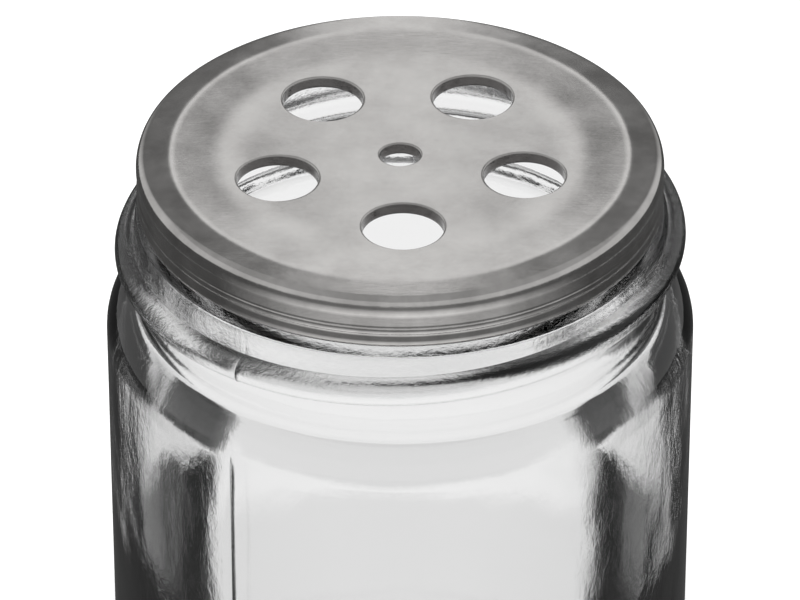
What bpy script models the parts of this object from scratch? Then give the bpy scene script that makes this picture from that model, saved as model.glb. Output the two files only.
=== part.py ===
"""Glass spice jar with a perforated screw lid.

The jar is one piece of pressed and blown glass. The lid is one pressing of thin steel.
Both are turned forms about the Z axis. The origin is the middle of the base, on the
surface that the jar stands on. Lengths are in metres and angles in radians.
"""

import math

import bpy

# Jar, outside: drops are measured down from the rim
JAR_HEIGHT = 0.0942
BODY_RADIUS = 0.0334
HEEL_ROUND = 0.0060
BEARING_WIDTH = 0.0030
PUSH_UP = 0.0024
SHOULDER_DROP = 0.02225
SHOULDER_ROUND = 0.0046
SHOULDER_SLOPE = math.radians(25)
NECK_RADIUS = 0.0298
NECK_FILLET = 0.0016

# Jar: the transfer ring, which stands out below the lid
RING_RADIUS = 0.0324
RING_DROP = 0.0106
RING_ROUND = 0.0016
RING_FILLET = 0.0008
CREASE_RADIUS = 0.0304

# Jar: the finish, which the lid goes over, its shelf, and the band between shelf and ring
FINISH_RADIUS = 0.0277
FINISH_FILLET = 0.0006
SHELF_DROP = 0.0062
BAND_RADIUS = 0.0299
BAND_DROP = 0.00685
BAND_ROUND = 0.0003
RIM_ROUND = 0.0010

# Jar, inside
BODY_WALL = 0.0028
BASE_WALL = 0.0050
INNER_HEEL_ROUND = 0.0045
INNER_SHOULDER_ROUND = 0.0050
INNER_SHOULDER_SLOPE = math.radians(30)
BORE_RADIUS = 0.0252
BORE_FILLET = 0.0040

# Lid: the pressing, whose depth is measured from the edge of its panel
SHEET = 0.00035
SEAT_GAP = 0.0003
LID_RADIUS = 0.02985
LID_DEPTH = 0.0060

# Lid: the panel, which is flat out to the holes and then rises to a low crest
PANEL_DROP = 0.00025
PANEL_MARGIN = 0.00015
CREST_INSET = 0.00335
CREST_RISE = 0.00015

# Lid: the skirt, which swells at its corner, at a rolled bead and at its hem
CORNER_ROUND = 0.00105
SHOULDER_SWELL_ROUND = 0.00205
BEAD_ROUND = 0.0010
BEAD_DROP = 0.0039
BEAD_SPREAD = math.radians(30)
HEM_ROUND = 0.00136
SWELL_SPREAD = math.radians(20)
CURL_ROUND = 0.0005
CURL_END = math.radians(-205)

# Lid: the pour holes, each drawn down into a short collar
HOLE_COUNT = 5
HOLE_RADIUS = 0.00458
HOLE_CIRCLE = 0.01454
CENTRE_HOLE_RADIUS = 0.00228
COLLAR_DEPTH = 0.00135
COLLAR_ROUND = 0.00045
LID_TURN = math.radians(1.3)

CUT_OVERRUN = 0.0010
MERGE_DISTANCE = 0.00001

# Facets
TURN_STEPS = 48
HOLE_STEPS = 24
ROUND_STEP = math.radians(22.5)
SHARP_ANGLE = math.radians(35)

LID_EDGE = JAR_HEIGHT + SEAT_GAP + SHEET
PANEL_TOP = LID_EDGE - PANEL_DROP
PANEL_FLAT_RADIUS = HOLE_CIRCLE + HOLE_RADIUS + COLLAR_ROUND + PANEL_MARGIN


def clear_scene():
    for obj in list(bpy.data.objects):
        bpy.data.objects.remove(obj, do_unlink=True)


def new_collection(name, parent):
    collection = bpy.data.collections.new(name)
    parent.children.link(collection)
    return collection


def principled(name, colour, roughness, metallic=0.0, transmission=0.0):
    material = bpy.data.materials.new(name)
    material.use_nodes = True
    shader = material.node_tree.nodes["Principled BSDF"]
    shader.inputs["Base Color"].default_value = (*colour, 1.0)
    shader.inputs["Roughness"].default_value = roughness
    shader.inputs["Metallic"].default_value = metallic
    shader.inputs["Transmission Weight"].default_value = transmission
    return material


def arc(centre, radius, start, end):
    """Points along a round stretch, one about every ROUND_STEP."""
    steps = max(2, math.ceil(abs(end - start) / ROUND_STEP))
    angles = [start + (end - start) * i / steps for i in range(steps + 1)]
    r, z = centre
    return [(r + radius * math.cos(a), z + radius * math.sin(a)) for a in angles]


def rounded(corners):
    """An outline through corners of (radius, height, round), each made an arc.

    Where two arcs want more of a straight than there is, both shrink to share it.
    """
    points = [(r, z) for r, z, _ in corners]
    turns = [0.0] * len(corners)
    wanted = [0.0] * len(corners)
    for i in range(1, len(corners) - 1):
        before = math.atan2(points[i][1] - points[i - 1][1], points[i][0] - points[i - 1][0])
        after = math.atan2(points[i + 1][1] - points[i][1], points[i + 1][0] - points[i][0])
        turns[i] = math.remainder(after - before, math.tau)
        wanted[i] = corners[i][2] * abs(math.tan(turns[i] / 2))
    shares = [1.0] * len(corners)
    for i in range(len(corners) - 1):
        reach = wanted[i] + wanted[i + 1]
        if reach > 0:
            share = min(1.0, math.dist(points[i], points[i + 1]) / reach)
            shares[i] = min(shares[i], share)
            shares[i + 1] = min(shares[i + 1], share)
    outline = [points[0]]
    for i in range(1, len(corners) - 1):
        (r, z), round_here = points[i], corners[i][2] * shares[i]
        if not round_here:
            outline.append((r, z))
            continue
        heading = math.atan2(z - points[i - 1][1], r - points[i - 1][0])
        back = wanted[i] * shares[i]
        side = math.copysign(math.pi / 2, turns[i])
        centre = (
            r - back * math.cos(heading) + round_here * math.cos(heading + side),
            z - back * math.sin(heading) + round_here * math.sin(heading + side),
        )
        outline += arc(centre, round_here, heading - side, heading - side + turns[i])
    return outline + [points[-1]]


def without_repeats(outline):
    """The outline with any point that lies on the one before it left out."""
    kept = [outline[0]]
    for point in outline[1:]:
        if math.dist(point, kept[-1]) > MERGE_DISTANCE:
            kept.append(point)
    return kept


def turned(name, outline, steps, collection, material=None):
    """An outline in the XZ plane, turned about the object's Z axis by a Screw."""
    outline = without_repeats(outline)
    mesh = bpy.data.meshes.new(name)
    edges = [(i, i + 1) for i in range(len(outline) - 1)]
    mesh.from_pydata([(r, 0.0, z) for r, z in outline], edges, [])
    obj = bpy.data.objects.new(name, mesh)
    collection.objects.link(obj)
    if material:
        mesh.materials.append(material)
    screw = obj.modifiers.new("Turn", "SCREW")
    screw.steps = steps
    screw.render_steps = steps
    screw.use_merge_vertices = True
    screw.merge_threshold = MERGE_DISTANCE
    screw.use_smooth_shade = True
    return obj


def as_helper(obj):
    obj.hide_render = True
    obj.display_type = "WIRE"
    return obj


def joined(obj, operation, helpers):
    boolean = obj.modifiers.new(helpers.name, "BOOLEAN")
    boolean.operation = operation
    boolean.operand_type = "COLLECTION"
    boolean.collection = helpers
    boolean.solver = "EXACT"


def finished(obj):
    """The object with its modifiers made real, shaded smooth between its sharp edges."""
    evaluated = obj.evaluated_get(bpy.context.evaluated_depsgraph_get())
    mesh = bpy.data.meshes.new_from_object(evaluated)
    obj.modifiers.clear()
    obj.data = mesh
    mesh.shade_smooth()
    mesh.set_sharp_from_angle(angle=SHARP_ANGLE)
    return obj


def jar_inside():
    """Middle of the floor, up the wall and the bore, to the rim."""
    wall = BODY_RADIUS - BODY_WALL
    tangent = INNER_SHOULDER_ROUND * math.tan((math.pi / 2 - INNER_SHOULDER_SLOPE) / 2)
    shoulder = JAR_HEIGHT - SHOULDER_DROP - BODY_WALL / 2 + tangent
    bore_foot = shoulder + (wall - BORE_RADIUS) * math.tan(INNER_SHOULDER_SLOPE)
    return [
        (0.0, BASE_WALL, 0.0),
        (wall, BASE_WALL, INNER_HEEL_ROUND),
        (wall, shoulder, INNER_SHOULDER_ROUND),
        (BORE_RADIUS, bore_foot, BORE_FILLET),
        (BORE_RADIUS, JAR_HEIGHT, RIM_ROUND),
    ]


def jar_outside():
    """Rim, finish, shelf, band, transfer ring, neck, shoulder, wall and heel."""
    ring_top = JAR_HEIGHT - RING_DROP + RING_ROUND
    ring_foot = JAR_HEIGHT - RING_DROP - RING_ROUND
    tangent = SHOULDER_ROUND * math.tan((math.pi / 2 - SHOULDER_SLOPE) / 2)
    shoulder = JAR_HEIGHT - SHOULDER_DROP + tangent
    neck_foot = shoulder + (BODY_RADIUS - NECK_RADIUS) * math.tan(SHOULDER_SLOPE)
    push_radius = BODY_RADIUS - HEEL_ROUND - BEARING_WIDTH
    return [
        (FINISH_RADIUS, JAR_HEIGHT, RIM_ROUND),
        (FINISH_RADIUS, JAR_HEIGHT - SHELF_DROP, FINISH_FILLET),
        (BAND_RADIUS, JAR_HEIGHT - BAND_DROP, BAND_ROUND),
        (CREASE_RADIUS, ring_top, 0.0),
        (RING_RADIUS, ring_top, RING_ROUND),
        (RING_RADIUS, ring_foot, RING_ROUND),
        (NECK_RADIUS, ring_foot, RING_FILLET),
        (NECK_RADIUS, neck_foot, NECK_FILLET),
        (BODY_RADIUS, shoulder, SHOULDER_ROUND),
        (BODY_RADIUS, 0.0, HEEL_ROUND),
        (push_radius, 0.0, 0.0),
    ]


def push_up():
    """The shallow dome under the base, from its edge to the middle."""
    edge = BODY_RADIUS - HEEL_ROUND - BEARING_WIDTH
    sphere = (edge**2 + PUSH_UP**2) / (2 * PUSH_UP)
    spread = math.asin(edge / sphere)
    centre = (0.0, PUSH_UP - sphere)
    return arc(centre, sphere, math.pi / 2 - spread, math.pi / 2)


def make_jar(collection):
    glass = principled("clear_glass", (0.93, 0.95, 0.94), 0.02, transmission=1.0)
    outline = rounded(jar_inside() + jar_outside()) + push_up()
    return finished(turned("glass_jar", outline, TURN_STEPS, collection, glass))


def swell(centre_z, radius, spread):
    """A round swelling of the skirt, out to LID_RADIUS at its middle."""
    return arc((LID_RADIUS - radius, centre_z), radius, spread, -spread)


def inner_round(centre_z, radius, inner_radius, angle):
    """Centre of a smaller arc that runs on from a swelling at this angle."""
    reach = radius - inner_radius
    r = LID_RADIUS - radius + reach * math.cos(angle)
    return (r, centre_z + reach * math.sin(angle))


def lid_outline():
    """The lid's outer face: centre collar, panel, corner, skirt and curled hem."""
    corner_reach = (SHOULDER_SWELL_ROUND - CORNER_ROUND) * math.sin(SWELL_SPREAD)
    shoulder_z = LID_EDGE - CORNER_ROUND - corner_reach
    corner = inner_round(shoulder_z, SHOULDER_SWELL_ROUND, CORNER_ROUND, SWELL_SPREAD)
    curl_reach = (HEM_ROUND - CURL_ROUND) * math.sin(SWELL_SPREAD)
    hem_z = LID_EDGE - LID_DEPTH + CURL_ROUND + curl_reach
    curl = inner_round(hem_z, HEM_ROUND, CURL_ROUND, -SWELL_SPREAD)
    panel = [
        (CENTRE_HOLE_RADIUS, PANEL_TOP - COLLAR_DEPTH, 0.0),
        (CENTRE_HOLE_RADIUS, PANEL_TOP, COLLAR_ROUND),
        (PANEL_FLAT_RADIUS, PANEL_TOP, 0.0),
        (corner[0] - CREST_INSET, LID_EDGE + CREST_RISE, 0.0),
    ]
    return (
        rounded(panel)
        + arc(corner, CORNER_ROUND, math.pi / 2, SWELL_SPREAD)
        + swell(shoulder_z, SHOULDER_SWELL_ROUND, SWELL_SPREAD)
        + swell(LID_EDGE - BEAD_DROP, BEAD_ROUND, BEAD_SPREAD)
        + swell(hem_z, HEM_ROUND, SWELL_SPREAD)
        + arc(curl, CURL_ROUND, -SWELL_SPREAD, CURL_END)
    )


def hole_cutter_outline():
    """A pour hole's cutter: flared at the panel, where the sheet bends down."""
    wide = HOLE_RADIUS + COLLAR_ROUND
    bend = arc((wide, PANEL_TOP - COLLAR_ROUND), COLLAR_ROUND, math.pi / 2, math.pi)
    foot = PANEL_TOP - COLLAR_DEPTH - CUT_OVERRUN
    above = PANEL_TOP + CUT_OVERRUN
    return [(0.0, above), (wide, above)] + bend + [(HOLE_RADIUS, foot), (0.0, foot)]


def collar_blank_outline():
    """The solid that a collar is cut from, starting inside the panel's sheet."""
    outer = HOLE_RADIUS + SHEET
    top = PANEL_TOP - SHEET / 2
    foot = PANEL_TOP - COLLAR_DEPTH
    return [(0.0, top), (outer, top), (outer, foot), (0.0, foot)]


def ring_of(name, outline, collection):
    """One turned helper at each pour hole, the first at the front."""
    for i in range(HOLE_COUNT):
        angle = LID_TURN - math.pi / 2 + math.tau * i / HOLE_COUNT
        helper = as_helper(turned(f"{name}_{i + 1}", outline, HOLE_STEPS, collection))
        helper.location = (HOLE_CIRCLE * math.cos(angle), HOLE_CIRCLE * math.sin(angle), 0.0)
        helper.rotation_euler = (0.0, 0.0, angle)


def make_lid(collection, blanks, cutters):
    steel = principled("satin_steel", (0.52, 0.51, 0.50), 0.34, metallic=1.0)
    lid = turned("perforated_lid", lid_outline(), TURN_STEPS, collection, steel)
    sheet = lid.modifiers.new("Sheet", "SOLIDIFY")
    sheet.thickness = SHEET
    sheet.offset = -1.0
    sheet.use_even_offset = True
    ring_of("collar_blank", collar_blank_outline(), blanks)
    ring_of("hole_cutter", hole_cutter_outline(), cutters)
    joined(lid, "UNION", blanks)
    joined(lid, "DIFFERENCE", cutters)
    return finished(lid)


def main():
    clear_scene()
    root = bpy.context.scene.collection
    jar_parts = new_collection("glass_spice_jar", root)
    helpers = new_collection("helpers", root)
    blanks = new_collection("collar_blanks", helpers)
    cutters = new_collection("hole_cutters", helpers)
    make_jar(jar_parts)
    make_lid(jar_parts, blanks, cutters)


main()
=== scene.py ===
import math

import bmesh
import bpy
from mathutils import Matrix, Vector, noise
from mathutils.geometry import delaunay_2d_cdt


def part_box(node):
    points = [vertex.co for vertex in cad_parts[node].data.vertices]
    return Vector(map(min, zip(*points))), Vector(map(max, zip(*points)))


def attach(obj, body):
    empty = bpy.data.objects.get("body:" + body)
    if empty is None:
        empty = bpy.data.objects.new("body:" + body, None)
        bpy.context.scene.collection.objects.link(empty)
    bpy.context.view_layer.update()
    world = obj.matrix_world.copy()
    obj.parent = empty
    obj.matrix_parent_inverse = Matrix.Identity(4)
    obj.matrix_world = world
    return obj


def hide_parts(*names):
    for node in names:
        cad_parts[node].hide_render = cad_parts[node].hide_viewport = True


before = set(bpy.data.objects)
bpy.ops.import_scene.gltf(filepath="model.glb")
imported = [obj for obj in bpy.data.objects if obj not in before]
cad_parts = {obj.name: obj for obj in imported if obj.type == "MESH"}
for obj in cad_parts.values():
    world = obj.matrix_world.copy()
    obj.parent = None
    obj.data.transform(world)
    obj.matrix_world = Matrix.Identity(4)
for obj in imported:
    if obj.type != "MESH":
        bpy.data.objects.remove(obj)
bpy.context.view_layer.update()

MM = 0.001

# The jar: one thick-walled piece of clear soda-lime glass, pressed at the neck and blown
# in a two-part mould. The finish that takes the lid, the transfer ring below it and the
# wavy inside of the wall all come from that mould and that breath.
jar_low, jar_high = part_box("glass_jar")
JAR_HEIGHT = jar_high.z
BODY_RADIUS = jar_high.x + 0.15 * MM
HEEL_ROUND = 6.0 * MM
BEARING_WIDTH = 3.0 * MM
PUSH_UP = 2.4 * MM
SHOULDER_DROP = 22.25 * MM
SHOULDER_ROUND = 4.6 * MM
SHOULDER_SLOPE = math.radians(25)
NECK_RADIUS = 29.8 * MM
NECK_FILLET = 1.6 * MM
RING_RADIUS = 32.4 * MM
RING_DROP = 10.6 * MM
RING_ROUND = 1.6 * MM
RING_FILLET = 0.8 * MM
CREASE_RADIUS = 30.4 * MM
RING_TILT = math.radians(1.95)
FINISH_RADIUS = 27.7 * MM
FINISH_FILLET = 0.6 * MM
SHELF_DROP = 6.2 * MM
BAND_RADIUS = 29.9 * MM
BAND_DROP = 6.85 * MM
BAND_ROUND = 0.3 * MM
RIM_ROUND = 1.0 * MM
BODY_WALL = 2.8 * MM
BASE_WALL = 5.0 * MM
INNER_HEEL_ROUND = 4.5 * MM
INNER_SHOULDER_ROUND = 5.0 * MM
INNER_SHOULDER_SLOPE = math.radians(30)
BORE_RADIUS = 25.2 * MM
BORE_FILLET = 4.0 * MM

THREAD_PITCH = 4.23 * MM
THREAD_TURNS = 1.05
THREAD_DROP = 5.0 * MM
THREAD_HEIGHT = 0.8 * MM
THREAD_WIDTH = 1.3 * MM
THREAD_START = math.radians(60)
THREAD_RUN_OUT = 0.08
# Where the thread's flank meets the finish and where its top begins, in half widths.
THREAD_FOOT = 1.15
THREAD_TOP = 0.35

SEAM_ANGLE = math.radians(-90 - 34.2)
# The seam in front stands out more than the one behind.
SEAM_HEIGHTS = (0.09 * MM, 0.02 * MM)
SEAM_WIDTH = 0.12 * MM
# The close mesh columns across a seam, in seam widths.
SEAM_COLUMNS = (-1.5, -0.9, -0.45, 0.0, 0.45, 0.9, 1.5)
SEAM_TOP = (SHOULDER_DROP - 0.5 * MM, SHOULDER_DROP + 1 * MM)
PARTING_DROP = 15.4 * MM
PARTING_HEIGHT = 0.05 * MM
PARTING_WIDTH = 0.15 * MM

# Breath leaves long waves and smaller ones in the inside of the wall. They grow from the
# rim down between two depths, and from the floor up.
INNER_WAVE = 0.08 * MM
INNER_WAVE_LENGTH = 7.0 * MM
INNER_WAVE_TOP = (1 * MM, 12 * MM)
INNER_WAVE_FOOT = 9 * MM
SMALL_WAVE = 0.35
SMALL_WAVE_COUNT = 2.6
OUTER_WAVE = 0.03 * MM
OUTER_WAVE_LENGTH = 9.0 * MM
WAVE_STRETCH = 2.2
WAVE_SEEDS = (3.1, 7.7, 5.3)

RIPPLE_LENGTH = 1.923 * MM
RIPPLE_SQUEEZE = 0.45
INSIDE_RIPPLE = 0.03 * MM
OUTSIDE_RIPPLE = 0.010 * MM
# The crumbled grain of the pressed neck sets in between these heights over the ring's foot.
GRAIN_HEIGHTS = (-1.1 * MM, 0.6 * MM)
GRAIN_LENGTH = 0.6667 * MM
RING_GRAIN = 0.06 * MM
GLASS_COLOUR = "#fdfdfd"
GLASS_IOR = 1.52

JAR_COLUMNS = 240
ARC_STEP = math.radians(9)
LONG_ROW = 1.2 * MM
FINE_ROW = 0.3 * MM
FINE_DROP = 18.25 * MM
SHORTEST_ROW = 0.02 * MM
NO_REACH = 0.001 * MM
ON_FINISH = FINISH_RADIUS - 0.01 * MM
GLASS_EDGE = math.radians(50)


def arc(centre, radius, start, end):
    steps = max(2, math.ceil(abs(end - start) / ARC_STEP))
    angles = [start + (end - start) * i / steps for i in range(steps + 1)]
    return [(centre[0] + radius * math.cos(a), centre[1] + radius * math.sin(a)) for a in angles]


def rounded(corners):
    """An outline through corners of (radius, height, round), each made an arc that fits."""
    points = [(r, z) for r, z, _ in corners]
    turns, wanted = [0.0] * len(corners), [0.0] * len(corners)
    for i in range(1, len(corners) - 1):
        before = math.atan2(points[i][1] - points[i - 1][1], points[i][0] - points[i - 1][0])
        after = math.atan2(points[i + 1][1] - points[i][1], points[i + 1][0] - points[i][0])
        turns[i] = math.remainder(after - before, math.tau)
        wanted[i] = corners[i][2] * abs(math.tan(turns[i] / 2))
    shares = [1.0] * len(corners)
    for i in range(len(corners) - 1):
        reach = wanted[i] + wanted[i + 1]
        if reach > 0:
            share = min(1.0, math.dist(points[i], points[i + 1]) / reach)
            shares[i], shares[i + 1] = min(shares[i], share), min(shares[i + 1], share)
    outline = [points[0]]
    for i in range(1, len(corners) - 1):
        (r, z), bend = points[i], corners[i][2] * shares[i]
        if not bend:
            outline.append((r, z))
            continue
        heading = math.atan2(z - points[i - 1][1], r - points[i - 1][0])
        back, side = wanted[i] * shares[i], math.copysign(math.pi / 2, turns[i])
        centre = (
            r - back * math.cos(heading) + bend * math.cos(heading + side),
            z - back * math.sin(heading) + bend * math.sin(heading + side),
        )
        outline += arc(centre, bend, heading - side, heading - side + turns[i])
    return outline + [points[-1]]


def filled_in(outline, row_at):
    """The outline with its long straights split, no step longer than row_at says."""
    rows = [outline[0]]
    for point in outline[1:]:
        last = rows[-1]
        gap = math.dist(point, last)
        if gap < SHORTEST_ROW:
            continue
        steps = math.ceil(gap / row_at((point[1] + last[1]) / 2))
        for i in range(1, steps + 1):
            share = i / steps
            rows.append((last[0] + (point[0] - last[0]) * share,
                         last[1] + (point[1] - last[1]) * share))
    return rows


def lathe(name, rows, angles, place=None):
    """Rows of (radius, height) turned through the angles; place moves each point."""
    if place is None:
        def place(row, angle):
            return (row[0] * math.cos(angle), row[0] * math.sin(angle), row[1])
    points, index = [], []
    for row in rows:
        if row[0] < NO_REACH:
            index.append([len(points)] * len(angles))
            points.append((0.0, 0.0, row[1]))
            continue
        index.append(list(range(len(points), len(points) + len(angles))))
        points += [place(row, angle) for angle in angles]
    faces = []
    for low, high in zip(index, index[1:]):
        for i in range(len(angles)):
            j = (i + 1) % len(angles)
            corners = [low[i], low[j], high[j], high[i]]
            corners = [c for k, c in enumerate(corners) if c != corners[k - 1]]
            faces.append(corners[::-1])
    mesh = bpy.data.meshes.new(name)
    mesh.from_pydata(points, [], faces)
    mesh.update()
    return mesh


def jar_outlines():
    """The inside from the floor to the rim, and the outside from the rim to the push-up."""
    wall = BODY_RADIUS - BODY_WALL
    tangent = INNER_SHOULDER_ROUND * math.tan((math.pi / 2 - INNER_SHOULDER_SLOPE) / 2)
    shoulder = JAR_HEIGHT - SHOULDER_DROP - BODY_WALL / 2 + tangent
    bore_foot = shoulder + (wall - BORE_RADIUS) * math.tan(INNER_SHOULDER_SLOPE)
    rim_top = (BORE_RADIUS + RIM_ROUND, JAR_HEIGHT, 0.0)
    inside = [
        (0.0, BASE_WALL, 0.0),
        (wall, BASE_WALL, INNER_HEEL_ROUND),
        (wall, shoulder, INNER_SHOULDER_ROUND),
        (BORE_RADIUS, bore_foot, BORE_FILLET),
        (BORE_RADIUS, JAR_HEIGHT, RIM_ROUND),
        rim_top,
    ]
    ring_top = JAR_HEIGHT - RING_DROP + RING_ROUND
    ring_foot = JAR_HEIGHT - RING_DROP - RING_ROUND
    tangent = SHOULDER_ROUND * math.tan((math.pi / 2 - SHOULDER_SLOPE) / 2)
    shoulder = JAR_HEIGHT - SHOULDER_DROP + tangent
    neck_foot = shoulder + (BODY_RADIUS - NECK_RADIUS) * math.tan(SHOULDER_SLOPE)
    push_radius = BODY_RADIUS - HEEL_ROUND - BEARING_WIDTH
    outside = [
        rim_top,
        (FINISH_RADIUS, JAR_HEIGHT, RIM_ROUND),
        (FINISH_RADIUS, JAR_HEIGHT - SHELF_DROP, FINISH_FILLET),
        (BAND_RADIUS, JAR_HEIGHT - BAND_DROP, BAND_ROUND),
        (CREASE_RADIUS, ring_top, 0.0),
        (RING_RADIUS, ring_top, RING_ROUND),
        (RING_RADIUS, ring_foot, RING_ROUND),
        (NECK_RADIUS, ring_foot, RING_FILLET),
        (NECK_RADIUS, neck_foot, NECK_FILLET),
        (BODY_RADIUS, shoulder, SHOULDER_ROUND),
        (BODY_RADIUS, 0.0, HEEL_ROUND),
        (push_radius, 0.0, 0.0),
    ]
    sphere = (push_radius**2 + PUSH_UP**2) / (2 * PUSH_UP)
    spread = math.asin(push_radius / sphere)
    dome = arc((0.0, PUSH_UP - sphere), sphere, math.pi / 2 - spread, math.pi / 2)
    return rounded(inside), rounded(outside) + dome


def ramp(value, start, end):
    """0 at start, 1 at end, with a smooth ease between."""
    share = min(1.0, max(0.0, (value - start) / (end - start)))
    return share * share * (3 - 2 * share)


def bell(distance, width):
    return math.exp(-((distance / width) ** 2))


def thread_height(angle, drop):
    """How far the one-turn thread stands out of the finish, at this drop below the rim."""
    height, first = 0.0, (angle - THREAD_START) % math.tau / math.tau
    for turns in (first, first + 1):
        if turns < THREAD_TURNS:
            ends = ramp(turns, 0, THREAD_RUN_OUT) * ramp(
                turns, THREAD_TURNS, THREAD_TURNS - THREAD_RUN_OUT)
            across = abs(drop - THREAD_DROP + THREAD_PITCH * turns) / (THREAD_WIDTH / 2)
            height = max(height, THREAD_HEIGHT * ends * ramp(across, THREAD_FOOT, THREAD_TOP))
    return height


def wave(point, length, seed):
    stretched = Vector((point[0], point[1], point[2] / WAVE_STRETCH)) / length
    return noise.noise(stretched + Vector((seed, 0, 0)))


def place_inside(row, angle):
    r, z = row
    flat = (r * math.cos(angle), r * math.sin(angle), z)
    share = ramp(JAR_HEIGHT - z, *INNER_WAVE_TOP) * ramp(z, BASE_WALL, BASE_WALL + INNER_WAVE_FOOT)
    long_wave = wave(flat, INNER_WAVE_LENGTH, WAVE_SEEDS[0])
    small_wave = wave(flat, INNER_WAVE_LENGTH / SMALL_WAVE_COUNT, WAVE_SEEDS[1])
    r -= INNER_WAVE * share * (long_wave + SMALL_WAVE * small_wave)
    return (r * math.cos(angle), r * math.sin(angle), z)


def place_outside(row, angle):
    r, z = row
    drop = JAR_HEIGHT - z
    flat = (r * math.cos(angle), r * math.sin(angle), z)
    if r > ON_FINISH and drop < SHELF_DROP:
        r += thread_height(angle, drop)
    ring_level = ramp(drop, BAND_DROP, RING_DROP - RING_ROUND) * ramp(
        drop, PARTING_DROP, RING_DROP + RING_ROUND)
    if r > BORE_RADIUS:
        z += ring_level * math.tan(RING_TILT) * flat[0]
        swell = wave(flat, OUTER_WAVE_LENGTH, WAVE_SEEDS[2])
        r += OUTER_WAVE * swell * ramp(drop, BAND_DROP, RING_DROP)
        r += PARTING_HEIGHT * bell(drop - PARTING_DROP, PARTING_WIDTH)
        r = min(r, BODY_RADIUS)
        seamed = ramp(drop, *SEAM_TOP) + bell(drop - RING_DROP, RING_ROUND)
        for side, height in zip((0, math.pi), SEAM_HEIGHTS):
            across = math.remainder(angle - SEAM_ANGLE - side, math.tau) * r
            r += height * bell(across, SEAM_WIDTH) * seamed
    return (r * math.cos(angle), r * math.sin(angle), z)


def jar_row(height):
    return FINE_ROW if height > JAR_HEIGHT - FINE_DROP else LONG_ROW


def jar_angles():
    """Even columns, with a few close ones across each mould seam."""
    angles = [math.tau * i / JAR_COLUMNS for i in range(JAR_COLUMNS)]
    for side in (0, math.pi):
        for across in SEAM_COLUMNS:
            angles.append((SEAM_ANGLE + side + across * SEAM_WIDTH / BODY_RADIUS) % math.tau)
    return sorted(angles)


def make_piece(name, mesh, materials=()):
    piece = bpy.data.objects.new(name, mesh)
    bpy.context.scene.collection.objects.link(piece)
    for material in materials:
        mesh.materials.append(material)
    return piece


def make_jar():
    inside, outside = jar_outlines()
    inside, outside = filled_in(inside, jar_row), filled_in(outside, jar_row)
    angles = jar_angles()
    rows = [(r, z, True) for r, z in inside] + [(r, z, False) for r, z in outside[1:]]

    def place(row, angle):
        return (place_inside if row[2] else place_outside)(row[:2], angle)

    mesh = lathe("clear_glass_jar", rows, angles, place)
    mesh.shade_smooth()
    mesh.set_sharp_from_angle(angle=GLASS_EDGE)
    inner_faces = len(angles) * (len(inside) - 1)
    for polygon in mesh.polygons[:inner_faces]:
        polygon.material_index = 1
    return mesh


def linear(hex_colour):
    """An sRGB hex colour as the linear RGBA that a shader takes."""
    parts = [int(hex_colour[i:i + 2], 16) / 255 for i in (1, 3, 5)]
    return tuple(c / 12.92 if c <= 0.04045 else ((c + 0.055) / 1.055) ** 2.4 for c in parts) + (1.0,)


def add_node(tree, kind, settings=None, **inputs):
    """A node with its settings, and each input set to a value or linked to a socket."""
    made = tree.nodes.new(kind)
    for name, value in (settings or {}).items():
        setattr(made, name, value)
    for name, value in inputs.items():
        key = int(name[1:]) if name[1:].isdigit() else name.replace("_", " ")
        socket = made.inputs[key]
        if isinstance(value, bpy.types.NodeSocket):
            tree.links.new(value, socket)
        else:
            socket.default_value = value
    return made


def new_material(name):
    material = bpy.data.materials.new(name)
    material.use_nodes = True
    material.node_tree.nodes.clear()
    return material, material.node_tree


def glass(name, fine_bump, ring_bump):
    """Soda-lime glass off a mould: clear and bright, its skin a little uneven."""
    material, tree = new_material(name)
    where = add_node(tree, "ShaderNodeTexCoord").outputs["Object"]
    parts = add_node(tree, "ShaderNodeSeparateXYZ", Vector=where)
    stretched = add_node(tree, "ShaderNodeMapping", Vector=where, Scale=(1.0, 1.0, RIPPLE_SQUEEZE))
    ripple = add_node(tree, "ShaderNodeTexNoise", Vector=stretched.outputs[0], Scale=1 / RIPPLE_LENGTH,
                      Detail=5.0, Roughness=0.65)
    grain = add_node(tree, "ShaderNodeTexNoise", Vector=where, Scale=1 / GRAIN_LENGTH, Detail=4.0,
                     Roughness=0.7)
    ring_foot = JAR_HEIGHT - RING_DROP - RING_ROUND
    at_ring = add_node(tree, "ShaderNodeMapRange", {"interpolation_type": "SMOOTHSTEP"},
                       Value=parts.outputs["Z"], From_Min=ring_foot + GRAIN_HEIGHTS[0],
                       From_Max=ring_foot + GRAIN_HEIGHTS[1])
    soft = add_node(tree, "ShaderNodeBump", Strength=1.0, Distance=fine_bump, Height=ripple.outputs[0])
    rough = add_node(tree, "ShaderNodeBump", Strength=at_ring.outputs[0], Distance=ring_bump,
                     Height=grain.outputs[0], Normal=soft.outputs[0])
    shader = add_node(tree, "ShaderNodeBsdfPrincipled", Base_Color=linear(GLASS_COLOUR), Roughness=0.0,
                      IOR=GLASS_IOR, Transmission_Weight=1.0, Normal=rough.outputs[0])
    add_node(tree, "ShaderNodeOutputMaterial", Surface=shader.outputs[0])
    return material


jar = make_piece("clear_glass_jar", make_jar(),
                 [glass("moulded_glass_outside", OUTSIDE_RIPPLE, RING_GRAIN),
                  glass("blown_glass_inside", INSIDE_RIPPLE, 0.0)])
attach(jar, "jar")
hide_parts("glass_jar")

# The lid: one pressing of thin satin steel. The panel rises to a low crest near its edge,
# the pour holes are pierced and drawn down into short collars, and the skirt is rolled
# into soft beads and curled under at its hem.
lid_low, lid_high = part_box("perforated_lid")
SHEET = 0.35 * MM
LID_RADIUS = lid_high.x - 0.08 * MM
LID_DEPTH = 6.3 * MM
CREST_HEIGHT = 0.15 * MM
LID_EDGE = lid_high.z - CREST_HEIGHT
DISH_DEPTH = 0.48 * MM
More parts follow.
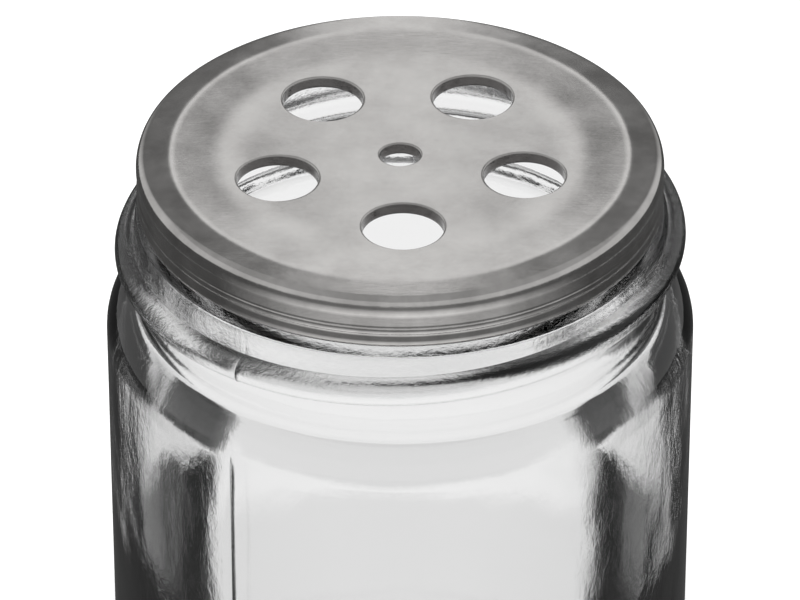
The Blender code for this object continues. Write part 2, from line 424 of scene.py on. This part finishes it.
# Radius, and the panel's slope there as a share of its steepest.
DISH_SLOPES = ((17.0 * MM, 0.0), (19.5 * MM, 0.4), (21.5 * MM, 1.0), (25.4 * MM, 1.0), (26.2 * MM, 0.0))
CORNER_ROUND = 1.05 * MM
SHOULDER_SWELL_ROUND = 2.3 * MM
BEAD_ROUND = 1.0 * MM
BEAD_DROP = 4.15 * MM
BEAD_SPREAD = math.radians(30)
HEM_ROUND = 1.36 * MM
SWELL_SPREAD = math.radians(20)
CURL_ROUND = 0.5 * MM
CURL_END = math.radians(-205)
HOLE_COUNT = 5
HOLE_RADIUS = 4.58 * MM
HOLE_CIRCLE = 14.54 * MM
CENTRE_HOLE_RADIUS = 2.28 * MM
COLLAR_DEPTH = 1.35 * MM
COLLAR_ROUND = 0.22 * MM
LID_TURN = math.radians(1.3)
PANEL_WAVE = 0.02 * MM
PANEL_WAVE_LENGTH = 7.0 * MM
PANEL_WAVE_EDGE = 2 * MM

SHEET_TONES = ("#bfbdbb", "#dad8d6")
SHEET_ROUGHNESS = (0.13, 0.18)
CLOUD_SIZE = 6.25 * MM
SCRATCH_WIDTH = 0.3846 * MM
SCRATCH_DEPTH = 0.005 * MM
SCRATCH_SQUEEZE = 0.16
# The direction of each set of scratches, and how fine it is.
SCRATCH_RUNS = ((0.3, 1.0), (1.35, 1.3), (2.2, 0.8))
# Painted shade: the steel inside the pour-hole collars takes this darker colour, from just below the
# panel's top down the collar's bend.
COLLAR_SHADE_TONE = "#5f5d5c"
COLLAR_SHADE_DROP = 0.05 * MM
HOLES_REACH = 22 * MM

LID_COLUMNS = 288
LEAST_COLUMNS = 6
HOLE_COLUMNS = 72
HOLE_RINGS = (0.12 * MM, 0.35 * MM, 0.8 * MM)
HOLE_CLEARANCE = 1.3 * MM
HOLE_TOLERANCE = 0.998
PANEL_CELL = 0.9 * MM
EVEN_ZONE = 19 * MM
CREST_CELL = 0.3 * MM
CREST_ZONE = 24 * MM
RING_TWIST = 0.5
SAME_POINT = 1e-9
COLLAR_ROW = 0.3 * MM
SKIRT_ROW = 0.25 * MM
WELD = 0.004 * MM
STEEL_EDGE = math.radians(40)


def swell(centre_z, radius, spread):
    return arc((LID_RADIUS - radius, centre_z), radius, spread, -spread)


def inner_round(centre_z, radius, inner_radius, angle):
    """Centre of a smaller arc that runs on from a swelling at this angle."""
    reach = radius - inner_radius
    return (LID_RADIUS - radius + reach * math.cos(angle), centre_z + reach * math.sin(angle))


shoulder_z = LID_EDGE - CORNER_ROUND - (SHOULDER_SWELL_ROUND - CORNER_ROUND) * math.sin(SWELL_SPREAD)
hem_z = LID_EDGE - LID_DEPTH + CURL_ROUND + (HEM_ROUND - CURL_ROUND) * math.sin(SWELL_SPREAD)
corner = inner_round(shoulder_z, SHOULDER_SWELL_ROUND, CORNER_ROUND, SWELL_SPREAD)
curl = inner_round(hem_z, HEM_ROUND, CURL_ROUND, -SWELL_SPREAD)


def dish_share(r):
    """How far the panel has risen at this radius, as a share of the way to its crest."""
    def area(reach):
        total = 0.0
        for (low, before), (high, after) in zip(DISH_SLOPES, DISH_SLOPES[1:]):
            part = min(1.0, max(0.0, (reach - low) / (high - low)))
            total += (high - low) * part * (before + (after - before) * part / 2)
        return total
    return area(r) / area(DISH_SLOPES[-1][0])


def panel_height(r):
    """Height of the panel over the skirt's top edge: a dished middle inside a low crest."""
    crest = DISH_SLOPES[-1][0]
    if r < crest:
        return CREST_HEIGHT - DISH_DEPTH * (1 - dish_share(r))
    return CREST_HEIGHT * (corner[0] - r) / (corner[0] - crest)


def circle(centre, radius, count, start=0.0):
    angles = [start + math.tau * i / count for i in range(count)]
    return [(centre[0] + radius * math.cos(a), centre[1] + radius * math.sin(a)) for a in angles]


def panel_mesh():
    """The flat panel, triangulated so that it meets each collar and the skirt point to point."""
    holes = [((0.0, 0.0), CENTRE_HOLE_RADIUS + COLLAR_ROUND, 0.0)]
    for i in range(HOLE_COUNT):
        angle = LID_TURN - math.pi / 2 + math.tau * i / HOLE_COUNT
        centre = (HOLE_CIRCLE * math.cos(angle), HOLE_CIRCLE * math.sin(angle))
        holes.append((centre, HOLE_RADIUS + COLLAR_ROUND, angle))
    points, edges = [], []

    def add_loop(loop, fixed):
        first = len(points)
        points.extend(loop)
        if fixed:
            edges.extend((first + i, first + (i + 1) % len(loop)) for i in range(len(loop)))

    add_loop(circle((0.0, 0.0), corner[0], LID_COLUMNS), True)
    for centre, radius, start in holes:
        add_loop(circle(centre, radius, HOLE_COLUMNS, start), True)
        for out in HOLE_RINGS:
            add_loop(circle(centre, radius + out, HOLE_COLUMNS, start), False)
    rings = [PANEL_CELL * k for k in range(1, int(CREST_ZONE / PANEL_CELL))]
    rings += [CREST_ZONE + CREST_CELL * k for k in range(int((corner[0] - CREST_ZONE) / CREST_CELL))]
    for k, r in enumerate(rings):
        if r >= CREST_ZONE:
            count = LID_COLUMNS
        elif r > EVEN_ZONE:
            count = LID_COLUMNS // 2
        else:
            count = max(LEAST_COLUMNS, round(math.tau * r / PANEL_CELL))
        for point in circle((0.0, 0.0), r, count, RING_TWIST * k):
            if all(math.dist(point, centre) > radius + HOLE_CLEARANCE for centre, radius, _ in holes):
                points.append(point)
    flat = [Vector(point) for point in points]
    made, _, triangles, *_ = delaunay_2d_cdt(flat, edges, [], 0, SAME_POINT, True)
    faces = []
    for triangle in triangles:
        middle = sum((made[i] for i in triangle), Vector((0, 0))) / 3
        if all((middle - Vector(centre)).length > radius * HOLE_TOLERANCE for centre, radius, _ in holes):
            faces.append(triangle)
    mesh = bpy.data.meshes.new("panel")
    mesh.from_pydata([(p.x, p.y, 0.0) for p in made], [], faces)
    return mesh


def collar_mesh(radius):
    bend = arc((radius + COLLAR_ROUND, -COLLAR_ROUND), COLLAR_ROUND, math.pi / 2, math.pi)
    rows = filled_in(bend + [(radius, -COLLAR_DEPTH)], lambda z: COLLAR_ROW)
    return lathe("collar", rows[::-1], [math.tau * i / HOLE_COLUMNS for i in range(HOLE_COLUMNS)])


def ring_tree():
    """Copies of the incoming piece set round a circle, each turned to face out."""
    tree = bpy.data.node_groups.new("Pour hole ring", "GeometryNodeTree")
    sockets = (("Geometry", "NodeSocketGeometry"), ("Count", "NodeSocketInt"),
               ("Circle Radius", "NodeSocketFloat"), ("Turn", "NodeSocketFloat"),
               ("Material", "NodeSocketMaterial"))
    for name, kind in sockets:
        tree.interface.new_socket(name=name, in_out="INPUT", socket_type=kind)
    tree.interface.new_socket(name="Geometry", in_out="OUTPUT", socket_type="NodeSocketGeometry")
    given = add_node(tree, "NodeGroupInput").outputs
    index = add_node(tree, "GeometryNodeInputIndex").outputs[0]
    share = add_node(tree, "ShaderNodeMath", {"operation": "DIVIDE"}, _0=index, _1=given["Count"])
    angle = add_node(tree, "ShaderNodeMath", {"operation": "MULTIPLY_ADD"}, _0=share.outputs[0],
                     _1=math.tau, _2=given["Turn"]).outputs[0]
    along = add_node(tree, "ShaderNodeMath", {"operation": "COSINE"}, _0=angle)
    across = add_node(tree, "ShaderNodeMath", {"operation": "SINE"}, _0=angle)
    heading = add_node(tree, "ShaderNodeCombineXYZ", X=along.outputs[0], Y=across.outputs[0])
    spot = add_node(tree, "ShaderNodeVectorMath", {"operation": "SCALE"}, Vector=heading.outputs[0],
                    Scale=given["Circle Radius"])
    turn = add_node(tree, "ShaderNodeCombineXYZ", Z=angle)
    points = add_node(tree, "GeometryNodePoints", Count=given["Count"], Position=spot.outputs[0])
    copies = add_node(tree, "GeometryNodeInstanceOnPoints", Points=points.outputs[0],
                      Instance=given["Geometry"], Rotation=turn.outputs[0])
    real = add_node(tree, "GeometryNodeRealizeInstances", Geometry=copies.outputs[0])
    dressed = add_node(tree, "GeometryNodeSetMaterial", Geometry=real.outputs[0],
                       Material=given["Material"])
    add_node(tree, "NodeGroupOutput", Geometry=dressed.outputs[0])
    return tree


def run_tree(mesh, tree, **values):
    """The mesh that the tree makes of this one, with no modifier left."""
    holder = make_piece(mesh.name, mesh)
    modifier = holder.modifiers.new("Nodes", "NODES")
    modifier.node_group = tree
    for item in tree.interface.items_tree:
        key = item.name.replace(" ", "_")
        if item.in_out == "INPUT" and key in values:
            modifier[item.identifier] = values[key]
    evaluated = holder.evaluated_get(bpy.context.evaluated_depsgraph_get())
    made = bpy.data.meshes.new_from_object(evaluated)
    bpy.data.objects.remove(holder)
    return made


def joined_mesh(name, meshes):
    """One mesh of several, welded where their points meet."""
    whole = bmesh.new()
    for mesh in meshes:
        whole.from_mesh(mesh)
    bmesh.ops.remove_doubles(whole, verts=whole.verts, dist=WELD)
    bmesh.ops.recalc_face_normals(whole, faces=whole.faces)
    mesh = bpy.data.meshes.new(name)
    whole.to_mesh(mesh)
    whole.free()
    return mesh


def steel():
    """Satin steel sheet: rolled, then rubbed, with faint short scratches every way, and painted shade
    darkening the insides of the pour-hole collars.
    """
    material, tree = new_material("satin_steel_sheet")
    where = add_node(tree, "ShaderNodeTexCoord").outputs["Object"]
    cloud = add_node(tree, "ShaderNodeTexNoise", Vector=where, Scale=1 / CLOUD_SIZE, Detail=4.0,
                     Roughness=0.6)
    patch = add_node(tree, "ShaderNodeMapRange", Value=cloud.outputs[0], From_Min=0.35, From_Max=0.65)
    sheet = add_node(tree, "ShaderNodeMix", {"data_type": "RGBA"}, Factor=patch.outputs[0],
                     _6=linear(SHEET_TONES[0]), _7=linear(SHEET_TONES[1]))
    parts = add_node(tree, "ShaderNodeSeparateXYZ", Vector=where)
    flat = add_node(tree, "ShaderNodeVectorMath", {"operation": "MULTIPLY"}, _0=where,
                    _1=(1.0, 1.0, 0.0)).outputs[0]
    out = add_node(tree, "ShaderNodeVectorMath", {"operation": "LENGTH"}, _0=flat).outputs["Value"]
    # Painted shade: within the holes' reach, the colour turns to the dark collar tone from just below the
    # panel's top down into the collars.
    inner = add_node(tree, "ShaderNodeMath", {"operation": "LESS_THAN"}, _0=out,
                     _1=HOLES_REACH).outputs[0]
    top = LID_EDGE + CREST_HEIGHT - DISH_DEPTH
    sunk = add_node(tree, "ShaderNodeMapRange", Value=parts.outputs["Z"], From_Min=top - COLLAR_SHADE_DROP,
                    From_Max=top - COLLAR_ROUND).outputs[0]
    painted_collar_shade = add_node(tree, "ShaderNodeMath", {"operation": "MULTIPLY"}, _0=inner, _1=sunk).outputs[0]
    colour = add_node(tree, "ShaderNodeMix", {"data_type": "RGBA"}, Factor=painted_collar_shade,
                      _6=sheet.outputs[2], _7=linear(COLLAR_SHADE_TONE))
    heights = None
    for turn, size in SCRATCH_RUNS:
        turned = add_node(tree, "ShaderNodeMapping", Vector=where, Rotation=(0.0, 0.0, turn),
                          Scale=(SCRATCH_SQUEEZE * size, size, size)).outputs[0]
        lines = add_node(tree, "ShaderNodeTexNoise", Vector=turned, Scale=1 / SCRATCH_WIDTH, Detail=3.0,
                         Roughness=0.7).outputs[0]
        if heights is None:
            heights = lines
        else:
            heights = add_node(tree, "ShaderNodeMath", {"operation": "ADD"}, _0=heights,
                               _1=lines).outputs[0]
    rough = add_node(tree, "ShaderNodeMapRange", Value=cloud.outputs[0], From_Min=0.3, From_Max=0.7,
                     To_Min=SHEET_ROUGHNESS[0], To_Max=SHEET_ROUGHNESS[1])
    bump = add_node(tree, "ShaderNodeBump", Strength=1.0, Distance=SCRATCH_DEPTH, Height=heights)
    shader = add_node(tree, "ShaderNodeBsdfPrincipled", Base_Color=colour.outputs[2], Metallic=1.0,
                      Roughness=rough.outputs[0], Normal=bump.outputs[0])
    add_node(tree, "ShaderNodeOutputMaterial", Surface=shader.outputs[0])
    return material


def make_lid(material):
    skirt_rows = (arc(corner, CORNER_ROUND, math.pi / 2, SWELL_SPREAD)
                  + swell(shoulder_z, SHOULDER_SWELL_ROUND, SWELL_SPREAD)
                  + swell(LID_EDGE - BEAD_DROP, BEAD_ROUND, BEAD_SPREAD)
                  + swell(hem_z, HEM_ROUND, SWELL_SPREAD)
                  + arc(curl, CURL_ROUND, -SWELL_SPREAD, CURL_END))
    skirt_rows = [(r, z - LID_EDGE) for r, z in skirt_rows]
    angles = [math.tau * i / LID_COLUMNS for i in range(LID_COLUMNS)]
    skirt = lathe("skirt", filled_in(skirt_rows, lambda z: SKIRT_ROW), angles)
    tree = ring_tree()
    pour = run_tree(collar_mesh(HOLE_RADIUS), tree, Count=HOLE_COUNT, Circle_Radius=HOLE_CIRCLE,
                    Turn=LID_TURN - math.pi / 2, Material=material)
    centre = collar_mesh(CENTRE_HOLE_RADIUS)
    mesh = joined_mesh("perforated_steel_lid", [panel_mesh(), skirt, pour, centre])
    for vertex in mesh.vertices:
        r = math.hypot(vertex.co.x, vertex.co.y)
        if r < corner[0] - NO_REACH:
            uneven = noise.noise(vertex.co / PANEL_WAVE_LENGTH) * PANEL_WAVE
            share = ramp(r, corner[0], corner[0] - PANEL_WAVE_EDGE)
            vertex.co.z += panel_height(r) + uneven * share
    mesh.transform(Matrix.Translation((0, 0, LID_EDGE)))
    mesh.materials.clear()
    lid = make_piece("perforated_steel_lid", mesh, [material])
    sheet = lid.modifiers.new("Sheet", "SOLIDIFY")
    sheet.thickness = SHEET
    sheet.offset = -1.0
    sheet.use_even_offset = True
    mesh.shade_smooth()
    mesh.set_sharp_from_angle(angle=STEEL_EDGE)
    return lid


lid = make_lid(steel())
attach(lid, "lid")
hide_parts("perforated_lid")

# The set: a pale floor and a tall pale backdrop all round. A ray that leaves the glass
# finds them white only towards the jar's axis, as if through louvres, which draws the
# glass by dark edges from every side. A soft light panel hangs overhead.
FLOOR_SIZE = 6.0
DRUM_RADIUS = 2.0
DRUM_HEIGHT = 1.92
DRUM_SIDES = 96

# Seen through the glass: white where a ray passes this near the jar's axis on the plan,
# and a little farther off in a ring of the floor behind the jar.
LOUVRE_HALF = 22.1 * MM
LOUVRE_EDGE = 0.6 * MM
OUTER_HALF = 30.4 * MM
PALE_RING = (84 * MM, 125 * MM)
RING_EDGE = 2 * MM
BEHIND_EDGE = 10 * MM
NEAR_FOOT = (66 * MM, 71 * MM)
NEAR_LEVEL = 0.74
SEEN_LEVEL = 0.89
DARK_LEVEL = 0.02

# Mirrored in the steel and the glass: the floor is bright near the jar, the backdrop has a
# bright card behind it, and the rest is dimmer.
SOFT_LOUVRE = (6 * MM, 17 * MM)
SIDE_LEVEL = 0.08
MIRRORED_FLOOR = (0.06, 0.26)
MIRRORED_FAR_LEVEL = 0.2
CARD_HALF = (0.06, 0.11)
FLANK_END = (0.6, 1.2)
FLANK_LEVEL = 0.18
CARD_FRONT = (1.0, 0.2)
ROUND_LEVEL = 0.60
SKY_LEVEL = 0.12

# Seen straight: the floor glows less round the jar's foot, where its shadow falls.
SHADOW_RADII = (0.04, 0.07)
SHADOW_LEVELS = (0.1, 0.5)
FLOOR_TONE = 0.8

LAMP_SIZE = 2.0
LAMP_RISE = 0.9
LAMP_LEVEL = 0.30


def seen_along(tree, direction):
    """How nearly the ray runs along this direction, from 0 to 1."""
    facing = add_node(tree, "ShaderNodeLayerWeight", Blend=0.5, Normal=direction).outputs["Facing"]
    return add_node(tree, "ShaderNodeMath", {"operation": "SUBTRACT"}, _0=1.0, _1=facing).outputs[0]


def distances(tree):
    """Where the point is on the floor plan, how far out that is, and how far off the jar's
    axis the ray passes: in space, shortened by its slope, and on the plan."""
    where = add_node(tree, "ShaderNodeNewGeometry").outputs["Position"]
    flat = add_node(tree, "ShaderNodeVectorMath", {"operation": "MULTIPLY"}, _0=where,
                    _1=(1.0, 1.0, 0.0)).outputs[0]
    far = add_node(tree, "ShaderNodeVectorMath", {"operation": "LENGTH"}, _0=flat).outputs["Value"]
    beside = add_node(tree, "ShaderNodeVectorMath", {"operation": "CROSS_PRODUCT"},
                      _0=(0.0, 0.0, 1.0), _1=flat).outputs[0]
    beside = add_node(tree, "ShaderNodeVectorMath", {"operation": "NORMALIZE"}, _0=beside)
    off_axis = add_node(tree, "ShaderNodeMath", {"operation": "MULTIPLY"}, _0=far,
                        _1=seen_along(tree, beside.outputs[0])).outputs[0]
    up = add_node(tree, "ShaderNodeCombineXYZ", Z=1.0).outputs[0]
    level = add_node(tree, "ShaderNodeMath", {"operation": "ARCSINE"}, _0=seen_along(tree, up))
    level = add_node(tree, "ShaderNodeMath", {"operation": "COSINE"}, _0=level.outputs[0])
    on_plan = add_node(tree, "ShaderNodeMath", {"operation": "DIVIDE"}, _0=off_axis,
                       _1=level.outputs[0]).outputs[0]
    return add_node(tree, "ShaderNodeSeparateXYZ", Vector=flat).outputs, far, off_axis, on_plan


def glowing(tree, direct, mirrored, seen):
    """A glow of one level for the camera, one for mirror images and one seen through glass."""
    path = add_node(tree, "ShaderNodeLightPath").outputs
    by_glass = add_node(tree, "ShaderNodeMix", _0=path["Is Transmission Ray"], _2=mirrored, _3=seen)
    level = add_node(tree, "ShaderNodeMix", _0=path["Is Glossy Ray"], _2=direct,
                     _3=by_glass.outputs[0])
    return add_node(tree, "ShaderNodeEmission", Strength=level.outputs[0]).outputs[0]


def pale_floor():
    """Matt white paper with a painted glow: white to a ray towards the jar's axis, and in a ring behind
    its foot.
    """
    material, tree = new_material("pale_floor")
    place, far, off_axis, on_plan = distances(tree)
    inner, outer = PALE_RING
    in_ring = 1.0
    for value, start, end in ((far, inner - RING_EDGE, inner + RING_EDGE),
                              (far, outer + RING_EDGE, outer - RING_EDGE),
                              (on_plan, OUTER_HALF + LOUVRE_EDGE, OUTER_HALF - LOUVRE_EDGE),
                              (place["Y"], -BEHIND_EDGE, BEHIND_EDGE)):
        share = add_node(tree, "ShaderNodeMapRange", Value=value, From_Min=start, From_Max=end)
        in_ring = add_node(tree, "ShaderNodeMath", {"operation": "MULTIPLY"}, _0=in_ring,
                           _1=share.outputs[0]).outputs[0]
    open_louvre = add_node(tree, "ShaderNodeMapRange", Value=on_plan,
                           From_Min=LOUVRE_HALF + LOUVRE_EDGE, From_Max=LOUVRE_HALF - LOUVRE_EDGE)
    lit = add_node(tree, "ShaderNodeMath", {"operation": "MAXIMUM"}, _0=in_ring,
                   _1=open_louvre.outputs[0])
    white = add_node(tree, "ShaderNodeMapRange", Value=far, From_Min=NEAR_FOOT[0],
                     From_Max=NEAR_FOOT[1], To_Min=NEAR_LEVEL, To_Max=SEEN_LEVEL)
    seen = add_node(tree, "ShaderNodeMapRange", Value=lit.outputs[0], To_Min=DARK_LEVEL,
                    To_Max=white.outputs[0])
    level = add_node(tree, "ShaderNodeMapRange", Value=far, From_Min=MIRRORED_FLOOR[0],
                     From_Max=MIRRORED_FLOOR[1], To_Min=1.0, To_Max=MIRRORED_FAR_LEVEL)
    mirrored = add_node(tree, "ShaderNodeMapRange", Value=off_axis, From_Min=SOFT_LOUVRE[0],
                        From_Max=SOFT_LOUVRE[1], To_Min=level.outputs[0], To_Max=SIDE_LEVEL)
    direct = add_node(tree, "ShaderNodeMapRange", Value=far, From_Min=SHADOW_RADII[0],
                      From_Max=SHADOW_RADII[1], To_Min=SHADOW_LEVELS[0], To_Max=SHADOW_LEVELS[1])
    glow = glowing(tree, direct.outputs[0], mirrored.outputs[0], seen.outputs[0])
    glossy = add_node(tree, "ShaderNodeLightPath").outputs["Is Glossy Ray"]
    tone = add_node(tree, "ShaderNodeMapRange", Value=glossy, To_Min=FLOOR_TONE, To_Max=0.0)
    grey = add_node(tree, "ShaderNodeCombineXYZ", X=tone.outputs[0], Y=tone.outputs[0],
                    Z=tone.outputs[0])
    paper = add_node(tree, "ShaderNodeBsdfDiffuse", Color=grey.outputs[0]).outputs[0]
    both = add_node(tree, "ShaderNodeAddShader", _0=paper, _1=glow).outputs[0]
    add_node(tree, "ShaderNodeOutputMaterial", Surface=both)
    material.cycles.emission_sampling = "NONE"
    return material


def pale_backdrop():
    """White to the camera; mirrored, a bright card behind the jar between two dark flanks."""
    material, tree = new_material("pale_backdrop")
    place, _, _, on_plan = distances(tree)
    seen = add_node(tree, "ShaderNodeMapRange", Value=on_plan, From_Min=LOUVRE_HALF - LOUVRE_EDGE,
                    From_Max=LOUVRE_HALF + LOUVRE_EDGE, To_Min=SEEN_LEVEL, To_Max=DARK_LEVEL)
    aside = add_node(tree, "ShaderNodeMath", {"operation": "ABSOLUTE"}, _0=place["X"]).outputs[0]
    card = add_node(tree, "ShaderNodeMapRange", Value=aside, From_Min=CARD_HALF[0],
                    From_Max=CARD_HALF[1], To_Min=1.0, To_Max=FLANK_LEVEL)
    behind = add_node(tree, "ShaderNodeMapRange", Value=aside, From_Min=FLANK_END[0],
                      From_Max=FLANK_END[1], To_Min=card.outputs[0], To_Max=ROUND_LEVEL)
    mirrored = add_node(tree, "ShaderNodeMapRange", Value=place["Y"], From_Min=CARD_FRONT[0],
                        From_Max=CARD_FRONT[1], To_Min=behind.outputs[0], To_Max=ROUND_LEVEL)
    glow = glowing(tree, 1.0, mirrored.outputs[0], seen.outputs[0])
    add_node(tree, "ShaderNodeOutputMaterial", Surface=glow)
    material.cycles.emission_sampling = "NONE"
    return material


def make_floor():
    half = FLOOR_SIZE / 2
    corners = [(-half, -half, 0), (half, -half, 0), (half, half, 0), (-half, half, 0)]
    mesh = bpy.data.meshes.new("floor")
    mesh.from_pydata(corners, [], [(0, 1, 2, 3)])
    return make_piece("floor", mesh, [pale_floor()])


def make_drum():
    angles = [math.tau * i / DRUM_SIDES for i in range(DRUM_SIDES)]
    mesh = lathe("backdrop", [(DRUM_RADIUS, 0.0), (DRUM_RADIUS, DRUM_HEIGHT)], angles)
    return make_piece("backdrop", mesh, [pale_backdrop()])


make_floor()
make_drum()


def make_world():
    """A plain white sky, dim in the steel and dark through the glass."""
    world = bpy.data.worlds.new("studio")
    bpy.context.scene.world = world
    world.use_nodes = True
    tree = world.node_tree
    tree.nodes.clear()
    path = add_node(tree, "ShaderNodeLightPath").outputs
    by_glass = add_node(tree, "ShaderNodeMapRange", Value=path["Is Transmission Ray"],
                        To_Min=SKY_LEVEL, To_Max=DARK_LEVEL)
    level = add_node(tree, "ShaderNodeMapRange", Value=path["Is Glossy Ray"], To_Min=1.0,
                     To_Max=by_glass.outputs[0])
    glow = add_node(tree, "ShaderNodeBackground", Strength=level.outputs[0])
    add_node(tree, "ShaderNodeOutputWorld", Surface=glow.outputs[0])


def make_light_panel():
    """A round soft light overhead, wide enough to fill the sky over the backdrop."""
    lamp = bpy.data.lights.new("light_panel", "AREA")
    lamp.shape = "DISK"
    lamp.size = LAMP_SIZE
    lamp.energy = LAMP_LEVEL * math.pi**2 * (LAMP_SIZE / 2) ** 2
    holder = bpy.data.objects.new("light_panel", lamp)
    bpy.context.scene.collection.objects.link(holder)
    holder.location = (0, 0, LID_EDGE + LAMP_RISE)
    holder.visible_camera = False
    holder.visible_transmission = False


make_world()
make_light_panel()

# The camera: a long lens a little above the lid, placed so that the middle of the lid's
# panel and the size of the lid in the picture match the photograph.
IMAGE_WIDTH, IMAGE_HEIGHT = 800, 600
SENSOR = 36.0
FOCAL_PIXELS = 6600.0
VIEW_ELEVATION = math.radians(33.1)
VIEW_DISTANCE = 743 * MM
VIEW_CLIP = (0.05, 20.0)
PANEL_PIXEL = (400.1, 154.3)


def make_camera():
    data = bpy.data.cameras.new("camera")
    camera = bpy.data.objects.new("camera", data)
    bpy.context.scene.collection.objects.link(camera)
    data.sensor_width = SENSOR
    data.lens = FOCAL_PIXELS / IMAGE_WIDTH * SENSOR
    data.clip_start, data.clip_end = VIEW_CLIP
    panel = Vector((0, 0, LID_EDGE + CREST_HEIGHT - DISH_DEPTH))
    back = Vector((0, -math.cos(VIEW_ELEVATION), math.sin(VIEW_ELEVATION)))
    right = math.atan((PANEL_PIXEL[0] - IMAGE_WIDTH / 2) / FOCAL_PIXELS)
    down = math.atan((IMAGE_HEIGHT / 2 - PANEL_PIXEL[1]) / FOCAL_PIXELS)
    pitch = Matrix.Rotation(math.pi / 2 - VIEW_ELEVATION - down, 4, "X")
    place = Matrix.Translation(panel + back * VIEW_DISTANCE)
    camera.matrix_world = place @ Matrix.Rotation(right, 4, "Z") @ pitch
    bpy.context.scene.camera = camera


make_camera()
bpy.context.scene.view_settings.view_transform = "Standard"
